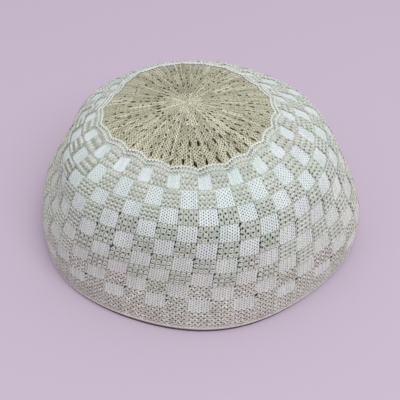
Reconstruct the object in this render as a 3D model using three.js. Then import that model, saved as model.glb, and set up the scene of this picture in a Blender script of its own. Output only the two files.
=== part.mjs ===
// A knitted kufi: a brimless round cap that stands on its own hem. Millimetres, +Z up, front towards -Y.
//
// The cap is knitted in the round, so every piece is described in the knit's own terms: how far down
// from the crown's centre it lies, in rows of checks, how deep in the fabric, in millimetres, and at
// what angle round the head. Each piece is turned on a lathe in those terms and then laid on the
// cap's real, slightly oval and dented form.
import * as THREE from 'three';
import { mergeVertices } from 'three/addons/utils/BufferGeometryUtils.js';

// Rows of checks down from the crown's centre to where each part of the knit begins or ends.
const crownEdgeRow = 5;
const lastCheckRow = 14;
const castOnRow = 15.36;
const rimRow = 15.6;

const checksPerRound = 44;
const facetsPerCheck = 2;
const roundSteps = checksPerRound * facetsPerCheck;

const knitThickness = 1.8;
const rowHeight = 9.1; // length of one row of checks down the side
const pieceGap = 0.3;
const gapRows = pieceGap / rowHeight;

// The welt is a thick cord of knit over the crown's edge, pulled inwards between every second column.
const weltWidth = 2.6;
const weltStandsProud = 1.1;
const weltShoulder = 0.62; // share of the welt's width that is flat on top
const weltHalfRows = weltWidth / 2 / rowHeight;
const scallopCount = checksPerRound / 2;
const scallopDepthRows = 0.19;
const scallopReachRows = 1.1; // how far above and below the crown's edge the pull is felt

const edgeCordProud = 0.35; // the cast-on edge is a little thicker than the knit, on both faces
const edgeCordRound = 0.5;

const firstCuspAngle = 0.11; // radians from the front towards +X
const slopeStep = 0.02; // rows and radians between the points that a surface normal is taken from

// The cap's form, a section for each row given: radius and height, how far the section's centre has
// slid sideways and back, and the millimetres by which it is oval, three-, four- and five-cornered,
// each as a cosine and a sine share of the angle from the front.
const sections = [
  { row: 0, radius: 0, height: 84.5, x: -5.5, y: -2.5,
    oval: [0, 0], three: [0, 0], four: [0, 0], five: [0, 0] },
  { row: 2.5, radius: 23.5, height: 83, x: -5.5, y: -3,
    oval: [0.5, 0.5], three: [-0.5, 0], four: [0.5, 0.5], five: [0, 0] },
  { row: 5, radius: 46, height: 79, x: -5, y: -3.5,
    oval: [1, 1], three: [-1, -0.5], four: [1.5, 1.5], five: [0, -0.5] },
  { row: 6.5, radius: 60.5, height: 72.5, x: -3, y: -5.5,
    oval: [0.5, 0.5], three: [-1.5, -0.5], four: [0.5, 0.5], five: [0, 0] },
  { row: 8, radius: 71, height: 64, x: -1, y: -5,
    oval: [-1, 0.5], three: [0.5, -1], four: [-1.5, 1], five: [1, 0] },
  { row: 10, radius: 78, height: 47, x: -0.5, y: -5.5,
    oval: [-2.5, 1.5], three: [0.5, -2], four: [-1.5, 0], five: [0.5, 1.5] },
  { row: 12.5, radius: 85.5, height: 26.5, x: -1, y: -4,
    oval: [-5, 1], three: [-0.5, 1], four: [-0.5, -2.5], five: [1, 2.5] },
  { row: 15.6, radius: 90, height: 0, x: -0.5, y: -1.5,
    oval: [-4, 0], three: [1, 0.5], four: [0, -1.5], five: [0.5, 1.5] },
];
// The dents fade towards the back, which keeps its round form: from the cosine of the angle at which
// they are gone to the one past which they are whole.
const dentsGone = -0.95;
const dentsWhole = -0.25;
// Where the dents put the middle of the cap's box, which is moved back to the origin.
const boxMiddleX = 0.4;
const boxMiddleY = -0.3;
const lobeNames = ['oval', 'three', 'four', 'five'];
const lobeCounts = { oval: 2, three: 3, four: 4, five: 5 };

// One column of the table, read between its rows as a smooth curve.
function along(row, read) {
  const last = sections.length - 1;
  const width = (i) => sections[i + 1].row - sections[i].row;
  const secant = (i) => (read(sections[i + 1]) - read(sections[i])) / width(i);
  const inner = (i) => (secant(i - 1) * width(i) + secant(i) * width(i - 1)) / (width(i - 1) + width(i));
  const slope = (i) => {
    if (i === 0) return 1.5 * secant(0) - 0.5 * inner(1);
    if (i === last) return 1.5 * secant(last - 1) - 0.5 * inner(last - 1);
    return inner(i);
  };
  let i = 0;
  while (i < last - 1 && row >= sections[i + 1].row) i += 1;
  const t = (row - sections[i].row) / width(i);
  const rise = t * t * (3 - 2 * t);
  const ends = read(sections[i]) * (1 - rise) + read(sections[i + 1]) * rise;
  const leave = width(i) * slope(i) * t * (1 - t) * (1 - t);
  const arrive = width(i) * slope(i + 1) * t * t * (1 - t);
  return ends + leave - arrive;
}

// The outer face of the knit.
function outerPoint(row, angle) {
  const dented = THREE.MathUtils.smoothstep(Math.cos(angle), dentsGone, dentsWhole);
  let radius = along(row, (section) => section.radius);
  for (const name of lobeNames) {
    const turns = lobeCounts[name] * angle;
    radius += along(row, (section) => section[name][0]) * Math.cos(turns) * dented;
    radius += along(row, (section) => section[name][1]) * Math.sin(turns) * dented;
  }
  return new THREE.Vector3(
    along(row, (section) => section.x) + radius * Math.sin(angle) - boxMiddleX,
    along(row, (section) => section.y) - radius * Math.cos(angle) - boxMiddleY,
    along(row, (section) => section.height),
  );
}

// The same face moved inwards by a depth, square to the knit.
function knitPoint(row, angle, depth) {
  const point = outerPoint(row, angle);
  if (row < slopeStep) return point.add(new THREE.Vector3(0, 0, -depth));
  const inRows = Math.min(row, rimRow - slopeStep);
  const down = outerPoint(inRows + slopeStep, angle).sub(outerPoint(inRows - slopeStep, angle));
  const round = outerPoint(inRows, angle + slopeStep).sub(outerPoint(inRows, angle - slopeStep));
  const outward = down.cross(round).normalize();
  return point.addScaledVector(outward, -depth);
}

// The pull of the welt: nothing at a cusp, most half-way between two, and fading away from the edge.
function scallopShift(row, turn) {
  const share = (turn * scallopCount) % 1;
  const fade = Math.max(0, 1 - Math.abs(row - crownEdgeRow) / scallopReachRows);
  return -scallopDepthRows * Math.sin(Math.PI * share) * fade;
}

// Turns a profile of [row, depth] pairs once round the head and lays it on the cap's form. What lies
// in the last row of all is pressed flat, on the level that the cap stands on.
function knitPiece(name, profile, material) {
  const points = profile.map(([row, depth]) => new THREE.Vector2(row, -depth));
  const turned = new THREE.LatheGeometry(points, roundSteps);
  turned.deleteAttribute('normal');
  turned.deleteAttribute('uv');
  const position = turned.attributes.position;
  const vertex = new THREE.Vector3();
  for (let i = 0; i < position.count; i += 1) {
    vertex.fromBufferAttribute(position, i);
    const row = Math.hypot(vertex.x, vertex.z);
    const swept = Math.atan2(vertex.x, vertex.z) / (2 * Math.PI);
    const turn = (Math.round(swept * roundSteps) / roundSteps + 1) % 1;
    const placed = knitPoint(row + scallopShift(row, turn), firstCuspAngle + 2 * Math.PI * turn, -vertex.y);
    const standing = row > rimRow - slopeStep;
    position.setXYZ(i, placed.x, placed.y, standing ? 0 : placed.z);
  }
  const geometry = mergeVertices(turned, 1e-4);
  geometry.computeVertexNormals();
  const mesh = new THREE.Mesh(geometry, material);
  mesh.name = name;
  return mesh;
}

// A wall of knit from one row to another, down its inner face and back up its outer one, with a ring
// of vertices at each whole row between them.
function wallProfile(fromRow, toRow) {
  const rows = [fromRow];
  for (let row = Math.floor(fromRow) + 1; row < toRow; row += 1) rows.push(row);
  rows.push(toRow);
  const inner = rows.map((row) => [row, knitThickness]);
  const outer = rows.map((row) => [row, 0]).reverse();
  return [...inner, ...outer];
}

const yarn = (colour) => new THREE.MeshStandardMaterial({ color: colour, roughness: 0.95, metalness: 0 });

// The crown: a shallow tan disc, whose last stitches are gathered together at its centre.
function crownTop() {
  return knitPiece('crown_top', wallProfile(0, crownEdgeRow - weltHalfRows - gapRows), yarn(0xa9a388));
}

// The welt: a raised cream cord of knit that joins the crown to the side.
function crownWelt() {
  const flat = weltHalfRows * weltShoulder;
  const section = [
    [crownEdgeRow - weltHalfRows, knitThickness],
    [crownEdgeRow + weltHalfRows, knitThickness],
    [crownEdgeRow + weltHalfRows, 0],
    [crownEdgeRow + flat, -weltStandsProud],
    [crownEdgeRow - flat, -weltStandsProud],
    [crownEdgeRow - weltHalfRows, 0],
  ];
  return knitPiece('crown_welt', [...section, section[0]], yarn(0xd9d6c4));
}

// The side: nine rounds of checks, white and tan by turns, in one piece of knit.
function checkWall() {
  const profile = wallProfile(crownEdgeRow + weltHalfRows + gapRows, lastCheckRow - gapRows / 2);
  return knitPiece('check_wall', [...profile, profile[0]], yarn(0xc4c6c4));
}

// The hem: a plain tan band under the last round of checks.
function hemBand() {
  const profile = wallProfile(lastCheckRow + gapRows / 2, castOnRow - gapRows / 2);
  return knitPiece('hem_band', [...profile, profile[0]], yarn(0xaaa596));
}

// The cast-on edge: a firm round of yarn that the cap stands on, flat underneath.
function hemEdge() {
  const top = castOnRow + gapRows / 2;
  const shoulder = top + edgeCordRound / rowHeight;
  const section = [
    [top, knitThickness],
    [shoulder, knitThickness + edgeCordProud],
    [rimRow, knitThickness + edgeCordProud],
    [rimRow, -edgeCordProud],
    [shoulder, -edgeCordProud],
    [top, 0],
  ];
  return knitPiece('hem_edge', [...section, section[0]], yarn(0xd6c9c0));
}

const kufi = new THREE.Group();
kufi.add(crownTop(), crownWelt(), checkWall(), hemBand(), hemEdge());

export default kufi;
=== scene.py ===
import bpy
import numpy as np
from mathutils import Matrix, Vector
from numpy.lib.stride_tricks import sliding_window_view


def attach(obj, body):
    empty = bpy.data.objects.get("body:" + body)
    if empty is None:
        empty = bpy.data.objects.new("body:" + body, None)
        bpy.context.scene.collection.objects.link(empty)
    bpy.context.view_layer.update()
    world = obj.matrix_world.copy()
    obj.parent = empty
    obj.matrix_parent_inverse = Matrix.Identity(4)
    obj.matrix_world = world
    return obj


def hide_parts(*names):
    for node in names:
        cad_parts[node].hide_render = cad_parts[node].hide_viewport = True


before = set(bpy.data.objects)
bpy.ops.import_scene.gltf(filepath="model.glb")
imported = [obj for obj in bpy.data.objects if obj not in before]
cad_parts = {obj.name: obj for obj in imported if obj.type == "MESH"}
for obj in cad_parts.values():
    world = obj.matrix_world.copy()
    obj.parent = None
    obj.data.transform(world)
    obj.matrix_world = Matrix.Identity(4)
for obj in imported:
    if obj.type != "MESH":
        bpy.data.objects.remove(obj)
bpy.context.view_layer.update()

chance = np.random.default_rng(44)

# ---------------------------------------------------------------------------------------------
# The side's fabric: the knit behind the checks, where the yarns that aren't in use are carried
# across from check to check. It is one round of soft cotton knit, worked in one with the rest of
# the cap, and it opens in small holes beside the tan checks.
# ---------------------------------------------------------------------------------------------

# The cap's form, in millimetres: a section for each row of checks given, counted down from the
# crown's centre. Each has a radius, a height and a slide sideways and back, and is a little oval,
# three-, four- and five-cornered, by a cosine and a sine share of the angle from the front.
form = {
    "row": [0, 2.5, 5, 6.5, 8, 10, 12.5, 15.6],
    "radius": [0, 23.5, 46, 60.5, 71, 78, 85.5, 90],
    "height": [84.5, 83, 79, 72.5, 64, 47, 26.5, 0],
    "x": [-5.5, -5.5, -5, -3, -1, -0.5, -1, -0.5],
    "y": [-2.5, -3, -3.5, -5.5, -5, -5.5, -4, -1.5],
    "oval": [
        (0, 0), (0.5, 0.5), (1, 1), (0.5, 0.5), (-1, 0.5), (-2.5, 1.5), (-5, 1), (-4, 0),
    ],
    "three": [
        (0, 0), (-0.5, 0), (-1, -0.5), (-1.5, -0.5), (0.5, -1), (0.5, -2), (-0.5, 1), (1, 0.5),
    ],
    "four": [
        (0, 0), (0.5, 0.5), (1.5, 1.5), (0.5, 0.5), (-1.5, 1), (-1.5, 0), (-0.5, -2.5), (0, -1.5),
    ],
    "five": [
        (0, 0), (0, 0), (0, -0.5), (0, 0), (1, 0), (0.5, 1.5), (1, 2.5), (0.5, 1.5),
    ],
}
corners = {"oval": 2, "three": 3, "four": 4, "five": 5}
# The dents fade towards the back, from the first of these cosines of the angle to the second.
dents_gone, dents_whole = -0.95, -0.25
# Where the dents put the middle of the cap, which is moved back to the origin.
box_middle_x, box_middle_y = 0.4, -0.3

# The knit is counted in columns of checks round the head, from the front, and in rows down.
columns_round = 44
half_round = columns_round // 2
column_angle = 2 * np.pi / columns_round
crown_edge_row, last_check_row, rim_row = 5.0, 14.0, 15.6

# The front column starts a little to one side, and the columns lean over on the way down, more at
# first than later: in radians, and in radians for each ten rows.
front_column_angle = 0.162
lean, lean_eased = 0.267, 0.112
# The welt's pull on the knit between its cusps, which are every second column.
first_cusp, cusp_columns = -0.34, 2
scallop_depth, scallop_reach = 0.19, 1.1


def eased(share):
    """A share from 0 to 1 that sets out and arrives gently."""
    return share * share * (3 - 2 * share)


def hump(at, middle, width):
    """1 in the middle, and fading to nothing on either side."""
    return np.exp(-(((at - middle) / width) ** 2))


def from_front(column):
    """A column counted from the front, at most half a round either way."""
    return (column + half_round) % columns_round - half_round


def along(row, name):
    """One entry of the form, read between its rows as a smooth curve."""
    rows = np.array(form["row"])
    entry = np.array(form[name], dtype=float).reshape(len(rows), -1)
    width = np.diff(rows)[:, None]
    secant = np.diff(entry, axis=0) / width
    inner = (secant[:-1] * width[1:] + secant[1:] * width[:-1]) / (width[:-1] + width[1:])
    first = 1.5 * secant[:1] - 0.5 * inner[:1]
    last = 1.5 * secant[-1:] - 0.5 * inner[-1:]
    slope = np.concatenate([first, inner, last])
    i = np.clip(np.searchsorted(rows, row, side="right") - 1, 0, len(width) - 1)
    t = (row - rows[i])[..., None] / width[i]
    value = entry[i] * (1 - eased(t)) + entry[i + 1] * eased(t)
    bend = slope[i] * t * (1 - t) ** 2 - slope[i + 1] * t * t * (1 - t)
    value = value + width[i] * bend
    return value if value.shape[-1] > 1 else value[..., 0]


def outer_point(row, angle):
    """The outer face of the knit, in millimetres."""
    dented = eased(np.clip((np.cos(angle) - dents_gone) / (dents_whole - dents_gone), 0, 1))
    radius = along(row, "radius")
    for name, count in corners.items():
        cosine, sine = np.moveaxis(along(row, name), -1, 0)
        turned = count * angle
        radius = radius + dented * (cosine * np.cos(turned) + sine * np.sin(turned))
    x = along(row, "x") + radius * np.sin(angle) - box_middle_x
    y = along(row, "y") - radius * np.cos(angle) - box_middle_y
    return np.stack([x, y, along(row, "height")], axis=-1)


def knit_point(row, angle, proud):
    """The same face moved outwards, square to the knit, and straight up at the crown's centre."""
    step = 0.02  # rows and radians to either side, between which the slope is taken
    inside = np.clip(row, step, rim_row - step)
    down = outer_point(inside + step, angle) - outer_point(inside - step, angle)
    around = outer_point(inside, angle + step) - outer_point(inside, angle - step)
    outward = np.cross(down, around)
    outward /= np.linalg.norm(outward, axis=-1, keepdims=True)
    outward = np.where((row < step)[..., None], [0, 0, 1], outward)
    return outer_point(row, angle) + outward * np.asarray(proud)[..., None]


def lay(column, row, proud):
    """Lays a point of flat knit on the form: its column and row of checks, and how far it stands
    proud in millimetres. The columns lean over on the way down, the rows sag here and there, and
    the welt pulls the knit inwards between every second column."""
    column, row, proud = np.broadcast_arrays(column, row, proud)
    down = np.clip(row - crown_edge_row, 0, None) / 10
    angle = front_column_angle + column * column_angle - lean * down + lean_eased * down**2
    angle = angle + down * (0.05 - 0.05 * np.cos(angle) - 0.03 * np.sin(angle))
    sag = 0.12 * np.sin(3 * angle) - 0.18 * np.sin(angle) - 0.2 * np.cos(2 * angle)
    down_side = np.clip((row - crown_edge_row) / (rim_row - crown_edge_row), 0, 1)
    between_cusps = np.sin(np.pi * ((column - first_cusp) / cusp_columns % 1))
    near_welt = np.clip(1 - abs(row - crown_edge_row) / scallop_reach, 0, 1)
    row = row + sag * np.sin(np.pi * down_side) - scallop_depth * between_cusps * near_welt
    return knit_point(np.clip(row, 0, rim_row), angle, proud) / 1000


def openness(column, row):
    """How far the stitches are stretched open, from 0 to 1: most over the front of the shoulder."""
    column = from_front(column)
    below_welt = np.clip((row - 5.3) / 2, 0, 1)
    shoulder = hump(row, 8.9, 1.7) * hump(column, 0, 7.5)
    return (0.42 + 0.28 * hump(column, 0, 10)) * below_welt + 0.3 * shoulder


def checks_of(white, steps):
    """Every check of one colour in those rounds of the side: its column and its step down."""
    found = []
    for step in steps:
        for column in range(-half_round, half_round):
            if ((step + column) % 2 == 1) == white:
                found.append((column, step))
    return found


def mark(mesh, name, values):
    """Gives each point of a mesh a value, for its finish to read."""
    mesh.attributes.new(name, "FLOAT", "POINT").data.foreach_set("value", np.ravel(values))


def mesh_of(name, points, faces, yarn, tone, material):
    """A piece from its points and faces, with the yarn's own length and breadth as its UV map and
    a tone for each point. Faces that close a round run on past its last column."""
    mesh = bpy.data.meshes.new(name)
    mesh.vertices.add(np.size(points) // 3)
    mesh.vertices.foreach_set("co", np.ravel(points))
    mesh.loops.add(faces.size)
    mesh.loops.foreach_set("vertex_index", faces.ravel().astype(np.int32))
    mesh.polygons.add(len(faces))
    starts = np.arange(len(faces), dtype=np.int32) * faces.shape[1]
    mesh.polygons.foreach_set("loop_start", starts)
    mesh.polygons.foreach_set("use_smooth", np.ones(len(faces), dtype=bool))
    mesh.update(calc_edges=True)
    mesh.validate()
    flat = np.reshape(yarn, (-1, 2))[faces]
    behind = flat[..., 0].max(axis=1, keepdims=True) - flat[..., 0]
    flat[..., 0] += columns_round * (behind > half_round)
    mesh.uv_layers.new(name="yarn").data.foreach_set("uv", flat.ravel())
    mark(mesh, "tone", tone)
    mesh.materials.append(material)
    piece = bpy.data.objects.new(name, mesh)
    bpy.context.scene.collection.objects.link(piece)
    return piece


class Wire:
    """A socket's value in a material, so that shader maths is written as a sum."""

    def __init__(self, tree, socket):
        self.tree, self.socket = tree, socket

    def combine(self, operation, *terms):
        node = self.tree.nodes.new("ShaderNodeMath")
        node.operation = operation
        for slot, term in zip(node.inputs, terms):
            if isinstance(term, Wire):
                self.tree.links.new(term.socket, slot)
            else:
                slot.default_value = term
        return Wire(self.tree, node.outputs[0])

    def __add__(self, other):
        return self.combine("ADD", self, other)

    def __sub__(self, other):
        return self.combine("SUBTRACT", self, other)

    def __rsub__(self, other):
        return self.combine("SUBTRACT", other, self)

    def __mul__(self, other):
        return self.combine("MULTIPLY", self, other)

    def __mod__(self, other):
        return self.combine("FLOORED_MODULO", self, other)

    def __gt__(self, other):
        return self.combine("GREATER_THAN", self, other)

    def __abs__(self):
        return self.combine("ABSOLUTE", self)

    def floor(self):
        return self.combine("FLOOR", self)

    def sine(self):
        return self.combine("SINE", self)

    __radd__, __rmul__ = __add__, __mul__


class Nodes:
    """A node tree, built up one node at a time."""

    def __init__(self, tree):
        self.tree = tree

    def node(self, kind, settings=(), output=0, **values):
        """A node with its settings, and its sockets' values or links. A socket that shares its
        name with others goes by its number, as in _6."""
        node = self.tree.nodes.new(kind)
        for setting, value in dict(settings).items():
            setattr(node, setting, value)
        for name, value in values.items():
            slot = node.inputs[int(name[1:]) if name[1:].isdigit() else name]
            if isinstance(value, Wire):
                self.tree.links.new(value.socket, slot)
            else:
                slot.default_value = value
        return Wire(self.tree, node.outputs[output])

    def parts_of(self, vector):
        """The three parts of a vector."""
        split = self.node("ShaderNodeSeparateXYZ", Vector=vector).socket.node
        return [Wire(self.tree, part) for part in split.outputs]


class Finish(Nodes):
    """A material."""

    def __init__(self, name, roughness, sheen=0.0):
        self.material = bpy.data.materials.new(name)
        self.material.use_nodes = True
        super().__init__(self.material.node_tree)
        self.shader = self.tree.nodes["Principled BSDF"]
        self.shader.inputs["Roughness"].default_value = roughness
        self.shader.inputs["Specular IOR Level"].default_value = 0.25
        self.shader.inputs["Sheen Weight"].default_value = sheen
        self.shader.inputs["Sheen Roughness"].default_value = 0.5

    def feed(self, socket, wire):
        self.tree.links.new(wire.socket, self.shader.inputs[socket])

    def emboss(self, height, strength, depth):
        bump = self.node("ShaderNodeBump", Height=height, Strength=strength, Distance=depth)
        self.feed("Normal", bump)

    def blend(self, share, first, second, way="MIX"):
        settings = {"data_type": "RGBA", "blend_type": way}
        return self.node("ShaderNodeMix", settings, 2, _0=share, _6=first, _7=second)

    def place(self):
        return self.node("ShaderNodeTexCoord", output="Object")

    def noise(self, scale):
        return self.node("ShaderNodeTexNoise", Vector=self.place(), Scale=scale, Detail=2)

    def marked(self, name):
        return self.node("ShaderNodeAttribute", {"attribute_name": name}, "Fac")

    def along_yarn(self):
        """The place along the yarn and across it, or on a backing the column and the row."""
        return self.parts_of(self.node("ShaderNodeUVMap", {"uv_map": "yarn"}))[:2]


def colour(red, green, blue):
    """A colour as seen on a screen, 0 to 255, as the light it stands for."""
    share = np.array([red, green, blue]) / 255
    light = np.where(share > 0.04045, ((share + 0.055) / 1.055) ** 2.4, share / 12.92)
    return (*light.tolist(), 1.0)


def grid_faces(across, down, closed):
    """The four-sided faces of a grid of points, that many across and down."""
    strips = across if closed else across - 1
    i, j = np.meshgrid(np.arange(strips), np.arange(down - 1), indexing="ij")
    a, b = i * down + j, (i + 1) % across * down + j
    return np.stack([a, a + 1, b + 1, b], axis=-1).reshape(-1, 4)


# The small holes about a tan check: the side of it, how far down it, and how large.
hole_sites = [(-0.5, 0.06, 1.0), (-0.5, 0.35, 0.6), (-0.5, 0.65, 0.45), (0.5, 0.06, 0.55)]
hole_half_width, hole_half_height = 0.055, 0.13  # of the largest, in columns and rows
firm_above_row = 7  # near the welt, where the knit is too firm to open far


def check_holes():
    """The holes of every tan check: the column, row, half-width and half-height of each, in
    columns and rows, and how far it leans."""
    found = []
    for check, step in checks_of(white=False, steps=range(2, 10)):
        for side, down, size in hole_sites:
            found.append((check + side, crown_edge_row + step - 1 + down, size))
    column, row, size = np.array(found).T
    size = size * openness(column, row) * chance.uniform(0.4, 1.25, len(size))
    size = np.where(row < firm_above_row, size * 0.5, size)
    leans = chance.normal(-0.35, 0.1, len(size))
    return column, row, size * hole_half_width, size * hole_half_height, leans


def from_hole(column, row, hole):
    """Where points lie about a hole, as shares of its half-width and half-height."""
    at_column, at_row, half_width, half_height, leans = hole
    down = row - at_row
    return from_front(column - at_column - leans * down) / half_width, down / half_height


def in_holes(column, row, holes):
    """Which points lie in a hole."""
    hit = np.zeros(np.shape(column), dtype=bool)
    for hole in zip(*holes):
        apart, down = from_hole(column, row, hole)
        hit |= apart**2 + down**2 < 1
    return hit


def backing(name, first_row, last_row, rows, holes, material):
    """A round of plain knit, open at its holes and given its thickness. What would lie under the
    floor is pressed flat on it, and the face towards the head is marked."""
    proud, thickness = -0.85, 0.95
    facets = 8 * columns_round
    column = np.linspace(-half_round, half_round, facets, endpoint=False)
    row = np.linspace(first_row, last_row, rows + 1)
    column, row = np.meshgrid(column, row, indexing="ij")
    faces = grid_faces(facets, rows + 1, closed=True)
    if holes is not None:
        middle_column = column.ravel()[faces[:, 0]] + half_round / facets
        middle_row = row.ravel()[faces].mean(axis=1)
        faces = faces[~in_holes(middle_column, middle_row, holes)]
    flat = np.stack([column, row], axis=-1)
    piece = mesh_of(name, lay(column, row, proud), faces, flat, openness(column, row), material)
    solid = piece.modifiers.new("thickness", "SOLIDIFY")
    solid.thickness, solid.offset = thickness / 1000, -1
    bpy.context.view_layer.objects.active = piece
    bpy.ops.object.modifier_apply(modifier=solid.name)
    points = np.empty(len(piece.data.vertices) * 3)
    piece.data.vertices.foreach_get("co", points)
    points[2::3] = np.maximum(points[2::3], 0)
    piece.data.vertices.foreach_set("co", points)
    mark(piece.data, "inner", np.repeat([0.0, 1.0], len(points) // 6))
    return piece


def wall_finish():
    """The knit behind the checks: the same two colours, changed over, painted dark outside as the
    shade behind the face, and plain to see on the inside. Where it is stretched it is painted
    darker still, as the shade inside the cap showing through."""
    finish = Finish("carried_yarn_painted_shade", roughness=0.95, sheen=0.1)
    column, row = finish.along_yarn()
    stretched = finish.marked("tone")
    tan = ((column + 0.5).floor() + (row - crown_edge_row).floor()) % 2 > 0.5
    # Painted shade: dark outside behind the stitches, and near black where the knit is stretched.
    snug = finish.blend(tan, colour(122, 128, 130), colour(122, 122, 112))
    drawn = finish.blend(tan, colour(74, 80, 82), colour(14, 13, 11))
    shade = finish.blend(stretched * stretched, snug, drawn)
    reverse = finish.blend(tan, colour(220, 224, 222), colour(200, 198, 182))
    finish.feed("Base Color", finish.blend(finish.marked("inner"), shade, reverse))
    ribs = (column * (16 * np.pi)).sine() * 0.5 + (row * (11 * np.pi)).sine() * 0.5
    finish.emboss(ribs, 0.6, 0.0003)
    return finish.material


holes = check_holes()
wall_backing = backing("wall_backing", 5.1, last_check_row, 62, holes, wall_finish())
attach(wall_backing, "root")
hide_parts("check_wall")

# ---------------------------------------------------------------------------------------------
# The white checks: stocking stitch in white cotton, four stitches across each check. Each column
# of stitches is two strands that zigzag down the check, and leave a pinhole inside every loop.
# ---------------------------------------------------------------------------------------------
row_height = 9.1  # millimetres down the side
wales_per_check = 4
legs_per_check = 2 * wales_per_check
leg_swing = 0.55 / 2 / legs_per_check  # the columns by which a leg sways to either side
under_welt = 0.25  # the rows of the top round that the welt covers
stitch_length = 1.3  # millimetres


def yarn_finish(name, dark, light, low_band_painted_shade=colour(255, 255, 255), groove_painted_shade=0.25, uneven=1.0):
    """Matt spun yarn: two tones from stitch to stitch, soft patches, painted shade in the grooves
    where strands meet, and a twisted ply. Its dye is a little uneven, and a band low on the side
    is painted darker and pinker, as shade with the pink floor's light reflected in it."""
    finish = Finish(name, roughness=0.92, sheen=0.15)
    length, breadth = finish.along_yarn()
    patches = finish.noise(90) * 0.5 + finish.noise(900) * 0.5 - 0.5
    # Painted shade: the yarn is darker towards its edges, in the grooves where strands meet.
    share = finish.marked("tone") + patches * 0.9 - breadth * breadth * groove_painted_shade
    rosy = colour(255, 255 - 3 * uneven, 255 - uneven)
    leafy = colour(255 - 3 * uneven, 255, 255 - 3 * uneven)
    dyed = finish.blend(finish.noise(70) * 3.0 - 1.0, leafy, rosy)
    shade = finish.blend(1.0, finish.blend(share, dark, light), dyed, "MULTIPLY")
    # Painted shade: a soft band low on the side is multiplied darker and pinker, as shade with the
    # pink floor's light reflected in it.
    height = finish.parts_of(finish.place())[2]
    painted_shade_height, fades_by_metre = 0.031, 26
    low = 1.0 - abs(height - painted_shade_height) * fades_by_metre
    finish.feed("Base Color", finish.blend(low, shade, low_band_painted_shade, "MULTIPLY"))
    twist = (length * 9.0 + breadth * 3.0).sine() * 0.5 + finish.noise(6000) * 0.8
    finish.emboss(twist, 0.35, 0.0001)
    return finish.material


def spread(column, row, holes):
    """Moves the points about each hole aside, so that the stitches close up round its rim."""
    rim, reach = 1.05, 1.9  # where the stitches close up, and how far out they are moved
    shape = column.shape
    column, row = column.flatten(), row.flatten()
    for hole in zip(*holes):
        at_column, at_row, half_width, half_height, leans = hole
        near = np.flatnonzero(abs(row - at_row) < half_height * reach)
        apart, down = from_hole(column[near], row[near], hole)
        away = np.hypot(apart, down)
        near, apart, down, away = (v[away < reach] for v in (near, apart, down, away))
        push = (rim + away * (1 - rim / reach)) / np.maximum(away, 0.05) - 1
        row[near] += down * push * half_height
        column[near] += apart * push * half_width + leans * down * push * half_height
    return column.reshape(shape), row.reshape(shape)


def cut_by(holes, column, row, strands, links):
    """Which faces of some strands the holes cut away, and with them any bit of strand that would
    be left shorter than four links."""
    cut = in_holes(column, row, holes).reshape(strands, links, 2)
    whole = np.pad(~cut.all(axis=-1), ((0, 0), (3, 3)))
    long_run = sliding_window_view(whole, 4, axis=1).all(axis=-1)
    cut |= ~sliding_window_view(long_run, 4, axis=1).any(axis=-1)[..., None]
    return cut.ravel()


def net(column, row, run, sway, phase, girth, halves, crest=0.34, proud=0.0, holes=None, tone=None):
    """Strands of knit, each of which starts at a column and row, runs on by so many columns and
    rows over so many half stitches, and sways by so many to either side at each of them, first one
    way (0) or the other (1). girth is half of the yarn's breadth and crest its depth, in
    millimetres. Holes push the strands aside and cut them."""
    strands, stations = len(column), 2 * halves + 1

    def each(value):
        return np.broadcast_to(value, strands)[:, None]

    phase = each(phase)
    i = np.arange(stations)[None, :] / 2
    turn = np.cos(np.pi * (i + phase))
    wander = turn + chance.normal(0, 0.16, (strands, stations))  # no two stitches are alike
    column = each(column) + each(run[0]) * i / halves - each(sway[0]) * wander
    row = each(row) + each(run[1]) * i / halves - each(sway[1]) * wander

    # The yarn is broad across its own way, and thinner where it turns.
    breadth = np.maximum(along(row, "radius"), 0.5) * column_angle
    dx, dy = np.gradient(column, axis=1) * breadth, np.gradient(row, axis=1) * row_height
    size = np.hypot(dx, dy)
    girth = girth if np.ndim(girth) == 2 else each(girth)
    girth = (girth * (1.08 - 0.16 * abs(turn)))[..., None]
    across = np.array([-1.0, 0.0, 1.0])
    column = column[..., None] - across * girth * (dy / size / breadth)[..., None]
    row = row[..., None] + across * girth * (dx / size / row_height)[..., None]

    # Each strand passes over its neighbour on one side, and under the one on the other.
    over = np.where(phase > 0, 0.1, -0.1) * abs(turn)
    depth = np.broadcast_to(proud + over[..., None] + (1 - abs(across)) * crest - 0.25, row.shape)
    patch = grid_faces(stations, 3, closed=False)
    faces = (np.arange(strands)[:, None, None] * stations * 3 + patch[None]).reshape(-1, 4)
    if holes is not None:
        column, row = spread(column, row, holes)
        middle = column.ravel()[faces].mean(axis=1), row.ravel()[faces].mean(axis=1)
        faces = faces[~cut_by(holes, *middle, strands, stations - 1)]
    length = i[..., None] * stitch_length + chance.uniform(0, 9, (strands, 1, 1))
    yarn = np.stack(np.broadcast_arrays(length, across), axis=-1)
    tone = chance.uniform(0, 1, (strands, 1)) if tone is None else tone
    tone = 0.7 * tone + 0.3 * chance.uniform(0, 1, (strands, stations))
    tone = np.broadcast_to(tone[..., None], row.shape)
    return lay(column, row, depth), faces, yarn, tone


def quilting(column, row):
    """The millimetres by which the tan checks puff out and the white ones lie back."""
    white = np.cos(np.pi * column) * np.sin(np.pi * (row - crown_edge_row))
    return 0.1 - 0.12 * np.tanh(3 * white)


def yielded(check):
    """The share of a check's width by which the white checks are narrower, and the tan ones wider,
    on either side: nothing at the front, and most at the sides."""
    return 0.075 * (1 - hump(check, 0, 9))


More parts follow.
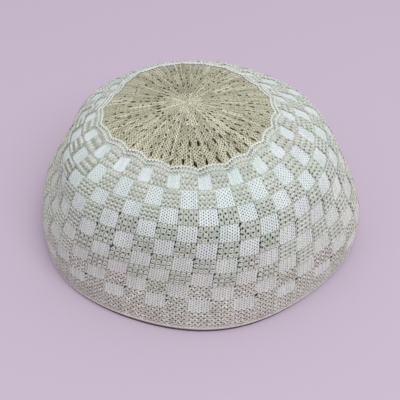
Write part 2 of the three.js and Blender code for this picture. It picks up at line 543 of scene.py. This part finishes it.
def check_strands(white, steps):
    """The white checks are drawn in, most at the sides and under the welt, and round at their
    corners, and the tan ones make up for it."""
    found = []
    for check, step in checks_of(white, steps):
        top, bottom = crown_edge_row + step - 1, crown_edge_row + step
        narrower, shorter = 0.02 + 0.04 * (step == 1) + yielded(check), yielded(check)
        if not white:
            narrower, shorter = -narrower, -shorter - 0.03
        for leg in range(legs_per_check):
            across = ((leg + 0.5) / legs_per_check - 0.5) * (1 - 2 * narrower)
            rounded = shorter + 1.5 * max(narrower, 0) * abs(2 * across) ** 3
            start = top + (under_welt if white and step == 1 else rounded)
            length = bottom - rounded - start
            found.append((check + across, start, length, (leg + step * white) % 2, check, step))
    return np.array(found).T


def knitted_checks(name, strands, halves, snug, drawn, yarn, tone_of=None):
    """Checks of stocking stitch, so many half stitches high. snug and drawn are the yarn's breadth
    where the knit is closed and where it is stretched, as shares of half a stitch."""
    column, row, length, phase, check, step = strands
    down = row[:, None] + length[:, None] * np.linspace(0, 1, 2 * halves + 1)
    opened = openness(column[:, None], down)
    half_wale = along(down, "radius") * column_angle / legs_per_check
    girth = half_wale * (snug + (drawn - snug) * opened) / 2
    tone = chance.uniform(0.25, 0.65, (len(column), 1)) + 0.3 * opened
    if tone_of is not None:
        tone = tone_of(down, check[:, None], step[:, None])
    proud = quilting(column[:, None], down)[..., None]
    knit = net(column, row, (0, length), (leg_swing, 0), phase, girth, halves,
               proud=proud, holes=holes, tone=tone)
    return mesh_of(name, *knit, yarn)


white_yarn = yarn_finish("white_cotton", colour(203, 214, 216), colour(249, 255, 255),
                         low_band_painted_shade=colour(244, 235, 229), groove_painted_shade=0.55)
white_checks = knitted_checks("white_checks", check_strands(white=True, steps=range(1, 10)),
                              halves=11, snug=0.93, drawn=0.74, yarn=white_yarn)
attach(white_checks, "root")

# ---------------------------------------------------------------------------------------------
# The tan checks: the same stitch in tan cotton, seven rounds of them. The cream yarn that is
# knitted in lies over the tan in four rows, or in three where the knit is pulled open or slack,
# and the tan stitches are fewer and broader there.
# ---------------------------------------------------------------------------------------------
tan_steps = range(1, 8)
ring_pull = 0.3  # the pull past which the cream yarn stands up in rings
bar_slack = 0.35  # the slack past which it lies in thick bars


def evenly_laid(check, step):
    """How evenly the cream yarn lies in a check's rows: most on the shoulder's left front."""
    return hump(check, -6, 6) * hump(step, 1.5, 2.5)


def pulled_open(check, step):
    """How far a check is pulled open: most at the front, a few rounds down."""
    opened = hump(check, -1.5, 4.5) * np.clip((step - 2) / 2, 0, 1)
    return opened - 0.3 * evenly_laid(check, step)


def slackened(check, step):
    """How slack the cream yarn lies in a check: most on the left of the shoulder."""
    return hump(check, -11, 4) * hump(step, 2.3, 1.6)


def cream_rows_in(check, step):
    """The rows of cream yarn in a tan check, as shares of its height."""
    few = pulled_open(check, step) > ring_pull or slackened(check, step) > bar_slack
    count = 3 if few else 4
    return [(turn + 0.5) / count for turn in range(count)]


def on_cream(down, step, count):
    """1 where one of so many rows of cream yarn lies on a tan strand, and -1 between two rows."""
    return -np.cos(2 * np.pi * count * (down - (crown_edge_row + step - 1)))


def few_rows_painted_shade(down, check, step):
    """The tone of tan yarn under three rows of cream, painted as shade: darker between the rows,
    and darker still where they lie slack.
    """
    return 0.35 - 0.4 * slackened(check, step) + 0.3 * on_cream(down, step, 3)


def many_rows_patches_and_painted_shade(down, check, step):
    """The tone of tan yarn under four rows of cream: painted shade between the rows, and patchy
    where they don't lie evenly.
    """
    even = evenly_laid(check, step)
    patches = chance.normal(0, 0.25, down.shape) * (1 - 0.7 * even)
    return 0.62 - 0.08 * even + (0.3 + 0.35 * even) * on_cream(down, step, 4) + patches


tan_yarn = yarn_finish("tan_cotton", colour(167, 174, 166), colour(219, 227, 220),
                       low_band_painted_shade=colour(247, 236, 239))
tan_strands = check_strands(white=False, steps=tan_steps)
cream_count = np.array([len(cream_rows_in(check, step)) for check, step in tan_strands[-2:].T])
tan_checks = knitted_checks("tan_checks", tan_strands[:, cream_count == 3],
                            halves=6, snug=1.34, drawn=0.84, yarn=tan_yarn, tone_of=few_rows_painted_shade)
barred_checks = knitted_checks("barred_checks", tan_strands[:, cream_count == 4], halves=8,
                               snug=1.25, drawn=0.74, yarn=tan_yarn, tone_of=many_rows_patches_and_painted_shade)
for piece in (tan_checks, barred_checks):
    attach(piece, "root")

# ---------------------------------------------------------------------------------------------
# The cream yarn in the tan checks: it is knitted in at every other round. Where a check is pulled
# open each of its stitches stands up in a ring, and elsewhere it runs on in wavy rows, which are
# thick and slack on the left of the shoulder.
# ---------------------------------------------------------------------------------------------


def cream_rows(rings):
    """The rows of cream yarn in each tan check, or its rings, four across: their column and row,
    and the check's own column and step. The welt covers the first row of the top round."""
    sites = (np.arange(wales_per_check) + 0.5) / wales_per_check - 0.5 if rings else [-0.5]
    found = []
    for check, step in checks_of(white=False, steps=tan_steps):
        if (pulled_open(check, step) > ring_pull) != rings:
            continue
        wider = 1 + 2 * yielded(check)
        middle = crown_edge_row + step - 0.5
        for down in cream_rows_in(check, step)[1 if step == 1 else 0:]:
            for across in sites:
                row = middle + (down - 0.5) * wider
                found.append((check + across * wider, row, check, step))
    return np.array(found).T


def cream_rings():
    """The rings, each a closed loop of yarn that is broader where the knit is pulled open."""
    half_girth, segments = 0.22, 12
    column, row, check, step = cream_rows(rings=True)
    count = len(column)
    pull = pulled_open(check, step)
    wale = along(row, "radius") * column_angle / wales_per_check
    half_breadth = wale * (0.34 + 0.04 * pull) * chance.uniform(0.85, 1.12, count)
    half_height = (0.45 + 0.4 * pull) * chance.uniform(0.8, 1.15, count)
    column = column + chance.normal(0, 0.016, count)
    row = row + chance.normal(0, 0.018, count)
    column, row, wale, half_breadth, half_height = (
        v[:, None, None] for v in (column, row, wale, half_breadth, half_height))

    around = np.linspace(0, 2 * np.pi, segments, endpoint=False)[None, :, None]
    across = np.array([-1.0, 0.0, 1.0])[None, None, :]
    x = (half_breadth + across * half_girth) * np.cos(around)
    y = np.maximum(half_height + across * half_girth, 0.02) * np.sin(around)
    proud = 0.1 + 0.4 * (1 - abs(across)) + quilting(column, row)
    at_column = column + x / (wales_per_check * wale)
    points = lay(*spread(at_column, row - y / row_height, holes), proud)
    patch = grid_faces(segments, 3, closed=True)[:, ::-1]
    faces = (np.arange(count)[:, None, None] * segments * 3 + patch[None]).reshape(-1, 4)
    length = around * 1.1 + chance.uniform(0, 9, count)[:, None, None]
    yarn = np.stack(np.broadcast_arrays(length, across), axis=-1)
    tone = np.broadcast_to(chance.uniform(0.3, 0.85, count)[:, None, None], x.shape)
    return points, faces, yarn, tone


def at_legs(halves, phase=0):
    """1 at each leg of the stitches along a strand and 0 between them, or the other way round."""
    return abs(np.cos(np.pi * (np.arange(2 * halves + 1) + phase) / 2))


def cream_waved():
    """The wavy rows, with a painted highlight at each stitch, and the thick bars among them."""
    halves = 8
    column, row, check, step = cream_rows(rings=False)
    slack, even = slackened(check, step), evenly_laid(check, step)
    thick = np.where(slack > bar_slack, slack, 0)
    girth = 0.38 + 4 * yielded(check) * np.clip(7.5 - row, 0, 1) + 0.12 * even
    girth = girth + (0.88 - girth) * thick
    length = 1 + 2 * yielded(check) - 0.3 * thick
    column = column + 0.15 * thick
    sway = (0, 0.06 - 0.025 * thick)
    crest = (0.5 + 0.2 * thick)[:, None, None]
    even, thick = even[:, None], thick[:, None]
    legs = at_legs(halves)
    bead_highlights = legs * chance.uniform(0.2 + 0.5 * even, 1.2, (len(column), len(legs)))
    bead_highlights = 0.25 - 0.1 * even + 0.75 * bead_highlights
    bead_highlights = bead_highlights + (0.55 - bead_highlights) * 0.8 * thick
    return net(column, row, (length, 0), sway, 0, girth, halves,
               crest=crest, proud=0.55, tone=bead_highlights)


ring_yarn = yarn_finish("cream_cotton", colour(196, 199, 187), colour(240, 243, 233))
wave_yarn = yarn_finish("cream_marl", colour(174, 178, 168), colour(252, 254, 247))
cream_loops = mesh_of("cream_loops", *cream_rings(), ring_yarn)
cream_waves = mesh_of("cream_waves", *cream_waved(), wave_yarn)
for piece in (cream_loops, cream_waves):
    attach(piece, "root")

# ---------------------------------------------------------------------------------------------
# The two lowest rounds of tan checks: cream and tan yarn knitted together in plain rounds, six to
# a check, as in the hem below them.
# ---------------------------------------------------------------------------------------------
speckled_pitch = 1 / 6  # rows of checks to a round of speckled knit


def speckled(name, column, row, rounds, wider, material):
    """Rounds of cream and tan yarn knitted together: a cream fleck at every leg of a stitch."""
    girth, halves = 0.72, 8
    column, row, wider = (v.repeat(rounds) for v in np.broadcast_arrays(column, row, wider))
    turn = np.tile(np.arange(rounds), len(column) // rounds)
    row = row + (turn + 0.5) * speckled_pitch
    legs = at_legs(halves, turn[:, None])
    flecks = legs * chance.uniform(0.5, 1.1, legs.shape)
    sway = (0, 0.3 * speckled_pitch)
    knit = net(column - wider, row, (1 + 2 * wider, 0), sway, turn % 2, girth, halves,
               proud=0.1, holes=holes, tone=flecks)
    return mesh_of(name, *knit, material)


marl = yarn_finish("marl", colour(156, 154, 145), colour(255, 253, 246), groove_painted_shade=0.35)
low_check, low_step = np.array(checks_of(white=False, steps=(8, 9))).T
speckled_checks = speckled("speckled_checks", low_check - 0.5, crown_edge_row + low_step - 1, 6,
                           0.02 + yielded(low_check), marl)
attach(speckled_checks, "root")

# The side narrows upwards, so its area is less than its length times its depth.
side_rows = np.linspace(crown_edge_row, last_check_row, 50)
side_depth = (last_check_row - crown_edge_row) * row_height
side_area = 2 * np.pi * along(side_rows, "radius").mean() * side_depth
side_area / 1e6

# ---------------------------------------------------------------------------------------------
# The crown: a tan disc of stocking stitch whose rounds are drawn together to a gathered centre.
# Stitches are taken out in rings on the way in, and leave long eyelets in the two outer rings.
# ---------------------------------------------------------------------------------------------
eyelet = np.arange(columns_round)
eyelet_drift = 0.22 * np.sin(2 * eyelet * column_angle)
eyelet_size = 0.45 + 0.55 * hump(from_front(eyelet - 2), 0, 7)


def eyelet_ring(shift, row, uneven, half_width, half_height):
    """A ring of long eyelets, one to a column and the largest at the front, with the least and the
    most that half the width and half the height may be."""
    return (eyelet + shift - eyelet_drift, row + chance.normal(0, uneven, columns_round),
            eyelet_size * chance.uniform(*half_width, columns_round),
            eyelet_size * chance.uniform(*half_height, columns_round),
            chance.normal(0, 0.25, columns_round))


outer_ring = eyelet_ring(-0.5, 4.58, 0.03, (0.06, 0.105), (0.2, 0.3))
inner_ring = eyelet_ring(0.12, 3.3, 0.07, (0.05, 0.1), (0.18, 0.3))
eyelets = np.concatenate([outer_ring, inner_ring], axis=1)


def shaded_finish(name, dark, light, reverse):
    """Plain knit behind the stitches: painted dark outside as their shade, and in its own colour
    inside.
    """
    finish = Finish(name, roughness=0.95)
    shade = finish.blend(finish.noise(400), dark, light)
    finish.feed("Base Color", finish.blend(finish.marked("inner"), shade, reverse))
    finish.emboss(finish.noise(1500), 0.6, 0.0003)
    return finish.material


crown_shade = shaded_finish("crown_shade", colour(98, 94, 68), colour(122, 117, 90),
                            reverse=colour(200, 195, 168))
crown_backing = backing("crown_backing", 0.02, 4.87, 70, eyelets, crown_shade)
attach(crown_backing, "root")
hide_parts("crown_top")

# Between its ribs the knit gapes in rings of short slits, each at a row and so many to the round.
slit_rings = [(1.25, 22), (1.6, 44), (2.0, 44), (2.4, 44), (2.85, 44), (3.3, 44), (3.7, 88),
              (4.15, 88)]
# Each ring of the crown: the rows where it begins and ends, and its stitches in every four columns.
crown_rings = [(3.25, 4.87, 12), (1.9, 3.25, 8), (0.95, 1.9, 4), (0.3, 0.95, 2), (0.03, 0.3, 1)]
crown_course = 0.12  # rows of checks to half a stitch
crown_start = -22.4  # the column where each ring begins


def crown_slits():
    """The slits, which the knit behind them fills, given as the eyelets are."""
    found = []
    for ring_row, count in slit_rings:
        for turn in range(count):
            half_width = chance.uniform(0.05, 0.27) / ring_row
            half_height = chance.uniform(0.06, 0.14)
            column = turn * columns_round / count - half_round + chance.normal(0, 0.1)
            found.append((column, ring_row + chance.normal(0, 0.1), half_width, half_height, 0))
    return np.array(found).T


def crown_ring(inner_row, outer_row, stitches):
    """One ring of the crown's stitches, which swing wider in the outermost one."""
    legs = 2 * stitches * columns_round // 4
    halves = round((outer_row - inner_row) / crown_course)
    half_wale = columns_round / legs
    column = (np.arange(legs) + 0.5) * half_wale + crown_start
    down = np.linspace(inner_row, outer_row, 2 * halves + 1)[None, :]
    girth = np.minimum(along(down, "radius"), 60) * column_angle * half_wale * 0.44
    swing = half_wale * (0.3 if inner_row > 3 else 0.2)
    tone = chance.uniform(0, 1, legs) ** 1.4 * 0.9 + (0.2 if inner_row < 0.9 else 0)
    # Painted shade: the crown's stitches are painted lighter towards the front and darker towards
    # the back.
    tone = tone + 0.13 * np.cos(column * column_angle) - 0.09
    return net(column, inner_row, (0, outer_row - inner_row), (swing, 0), np.arange(legs) % 2,
               girth, halves, crest=0.42, holes=crown_openings, tone=tone[:, None])


def joined(nets):
    """Several nets as one: their points, faces, yarn and tone."""
    points, faces, yarn, tone = zip(*nets)
    start = np.cumsum([0] + [part.size // 3 for part in points])
    return (np.concatenate([part.reshape(-1, 3) for part in points]),
            np.concatenate([part + first for part, first in zip(faces, start)]),
            np.concatenate([part.reshape(-1, 2) for part in yarn]),
            np.concatenate([part.ravel() for part in tone]))


crown_openings = np.concatenate([eyelets, crown_slits()], axis=1)
tan_marl = yarn_finish("crown_cotton", colour(172, 170, 146), colour(243, 241, 220),
                       groove_painted_shade=0.5, uneven=0.3)
crown_nets = [crown_ring(*ring) for ring in crown_rings]
crown_stitches = mesh_of("crown_stitches", *joined(crown_nets), tan_marl)
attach(crown_stitches, "root")

# ---------------------------------------------------------------------------------------------
# The welt: a raised round of cream stitches over the crown's edge, pulled in between every second
# column of checks, with a second, finer line of yarn below it.
# ---------------------------------------------------------------------------------------------


def cord_round(name, row, proud, half_rows, half_depth, material):
    """A cord laid once round the knit, from a ring. What would lie under the floor is pressed flat
    on it, and the half towards the head is marked."""
    radius = 0.25
    bpy.ops.object.select_all(action="DESELECT")
    bpy.ops.mesh.primitive_torus_add(major_segments=256, minor_segments=10,
                                     major_radius=1, minor_radius=radius)
    bpy.ops.object.shade_smooth()
    piece = bpy.context.active_object
    piece.name = piece.data.name = name
    ring = np.empty(len(piece.data.vertices) * 3)
    piece.data.vertices.foreach_get("co", ring)
    x, y, z = ring.reshape(-1, 3).T
    column = np.arctan2(x, -y) / column_angle
    outward = (np.hypot(x, y) - 1) / radius
    points = lay(column, row + half_rows * outward, proud + half_depth * z / radius)
    points[:, 2] = np.maximum(points[:, 2], 0)
    piece.data.vertices.foreach_set("co", points.ravel())
    mark(piece.data, "inner", 1.0 * (z < -0.2 * radius))
    piece.data.update()
    piece.data.materials.append(material)
    return piece


welt_yarn = yarn_finish("welt_cotton", colour(196, 200, 190), colour(250, 252, 246))
welt_shade = shaded_finish("welt_shade", colour(104, 106, 97), colour(132, 134, 125),
                           reverse=colour(212, 211, 198))
welt_core = cord_round("welt_core", 5.06, -0.95, half_rows=0.2, half_depth=0.85,
                       material=welt_shade)
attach(welt_core, "root")
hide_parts("crown_welt")

# Under the raised line the knit is plain tan for a few rounds.
strip_legs = legs_per_check * columns_round
strip_column = (np.arange(strip_legs) + 0.5) / legs_per_check - half_round - 0.5
strip_girth = 0.31 * along(np.full(strip_legs, 5.1), "radius") * column_angle / legs_per_check
strip = net(strip_column, 4.86, (0, 0.5), (0.04, 0), np.arange(strip_legs) % 2, strip_girth, 4,
            proud=0.25)
welt_strip = mesh_of("welt_strip", *strip, tan_yarn)

# The raised line and the finer one: the row of each, half of its breadth and how far it stands
# proud in millimetres, and the tone of its yarn between the stitches and the painted highlight
# that each stitch adds.
chain_halves = 8
chain_lines = np.array([(4.95, 0.42, 0.75, 0.6, 0.4), (5.17, 0.34, 0.65, 0.3, 0.7)])
line = np.arange(2).repeat(columns_round)
chain_column = np.tile(np.arange(-half_round, half_round) - 0.5, 2)
chain_row, chain_girth, chain_proud, between, painted_highlight = chain_lines[line].T
chain_tone = between[:, None] + painted_highlight[:, None] * at_legs(chain_halves)
chain = net(chain_column, chain_row, (1, 0), (0, 0.05), line, chain_girth, chain_halves,
            crest=0.5, proud=chain_proud[:, None, None], tone=chain_tone)
welt_chain = mesh_of("welt_chain", *chain, welt_yarn)
for piece in (welt_strip, welt_chain):
    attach(piece, "root")

# ---------------------------------------------------------------------------------------------
# The hem: a plain band, eight rounds deep, in cream and tan yarn knitted together, so that its
# stitches are speckled.
# ---------------------------------------------------------------------------------------------
hem_shade = shaded_finish("hem_shade", colour(86, 78, 76), colour(108, 100, 96),
                          reverse=colour(198, 190, 182))
hem_backing = backing("hem_backing", last_check_row, rim_row, 12, None, hem_shade)
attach(hem_backing, "root")
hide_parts("hem_band")
hem_stitches = speckled("hem_stitches", np.arange(-half_round, half_round) - 0.5, last_check_row,
                        8, 0.02, marl)
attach(hem_stitches, "root")

# ---------------------------------------------------------------------------------------------
# The cast-on edge: a firm pale cord of yarn. The back of the knit under it, painted dark as its
# shade, is what the cap stands on.
# ---------------------------------------------------------------------------------------------
edge_yarn = yarn_finish("edge_cotton", colour(206, 192, 196), colour(234, 222, 226))
edge_cord = cord_round("edge_cord", 15.28, -0.45, half_rows=0.09, half_depth=0.8,
                       material=edge_yarn)
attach(edge_cord, "root")
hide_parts("hem_edge")

# ---------------------------------------------------------------------------------------------
# The floor is a wide sheet of pale paper. The light is one large softbox high in front, under a
# plain sky that is brighter above.
# ---------------------------------------------------------------------------------------------
bpy.ops.object.select_all(action="DESELECT")
bpy.ops.mesh.primitive_plane_add(size=6, location=(0, 0, 0))
floor = bpy.context.active_object
floor.name = "floor"
paper = Finish("floor_paper", roughness=0.9)
paper.shader.inputs["Base Color"].default_value = colour(205, 190, 209)
floor.data.materials.append(paper.material)

world = bpy.data.worlds.new("studio")
bpy.context.scene.world = world
world.use_nodes = True
sky = Nodes(world.node_tree)
strength = sky.parts_of(sky.node("ShaderNodeTexCoord"))[2] * 0.6 + 0.22
background = sky.tree.nodes["Background"]
background.inputs["Color"].default_value = (1, 0.99, 1, 1)
sky.tree.links.new(strength.socket, background.inputs["Strength"])


def aimed(name, data, place, aim):
    """A lamp or a camera at its place, turned towards what it is aimed at."""
    holder = bpy.data.objects.new(name, data)
    holder.location = place
    holder.rotation_euler = (Vector(aim) - Vector(place)).to_track_quat("-Z", "Y").to_euler()
    bpy.context.scene.collection.objects.link(holder)
    return holder


softbox = bpy.data.lights.new("key", "AREA")
softbox.size, softbox.energy = 1.7, 27
aimed("key", softbox, (0.68, -1.15, 1.9), (0, 0, 0.03))

# The camera looks down on the cap's front from close by.
elevation, distance = np.radians(44.33), 0.4182
target = Vector((0.0006, 0.0104, 0.0))
backwards = Vector((0, -np.cos(elevation), np.sin(elevation)))
view = bpy.data.cameras.new("view")
view.lens, view.sensor_width = 59.9, 36
bpy.context.scene.camera = aimed("view", view, target + backwards * distance, target)
bpy.context.scene.view_settings.view_transform = "Standard"
